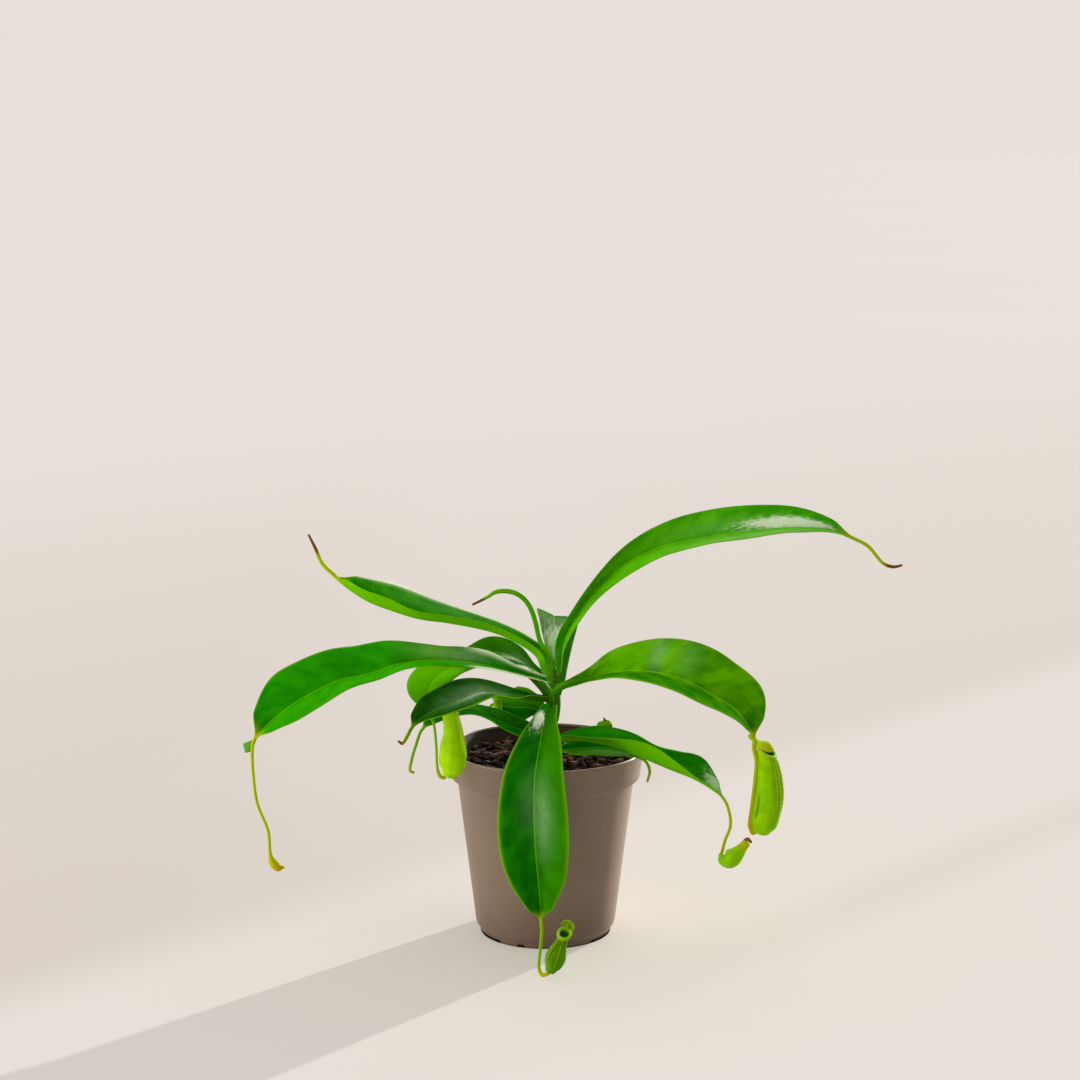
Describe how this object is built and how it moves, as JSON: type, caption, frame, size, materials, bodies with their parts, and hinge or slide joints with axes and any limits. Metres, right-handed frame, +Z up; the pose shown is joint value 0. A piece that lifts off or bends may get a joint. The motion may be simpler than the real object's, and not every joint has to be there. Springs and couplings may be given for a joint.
{
  "type": "potted pitcher plant",
  "caption": "Young tropical pitcher plant in a round plastic nursery pot: arching strap leaves, their tips drawn out into hanging tendrils, some ending in green pitchers.",
  "frame": {"origin": "centre of the pot's flat base, on the surface that it stands on", "axes": "+Z up the pot's axis, -Y towards the front, +X to the viewer's right"},
  "size_m": [0.3886, 0.1927, 0.2594],
  "materials": {
    "pot": "taupe moulded plastic, satin",
    "soil": "damp dark bark and peat, coarse",
    "stem": "smooth green, satin",
    "leaf": "glossy green blade, paler below, yellow-green tendril",
    "pitcher": "lime green, satin"
  },
  "bodies": {
    "root": {"pot": "pot", "soil": "soil", "stem": "stem", "leaf_upper_right": "leaf", "leaf_upper_left": "leaf", "leaf_left": "leaf", "leaf_right": "leaf", "leaf_front": "leaf", "leaf_lower_left": "leaf", "leaf_lower_left_back": "leaf", "leaf_lower_right": "leaf", "leaf_back_left": "leaf", "leaf_back": "leaf", "leaf_inner_left": "leaf", "leaf_lower_right_small": "leaf", "young_leaf": "leaf", "young_shoot": "leaf", "pitcher_right": "pitcher", "pitcher_front": "pitcher", "pitcher_left": "pitcher", "pitcher_small_right": "pitcher", "pitcher_young": "pitcher"}
  },
  "joints": []
}
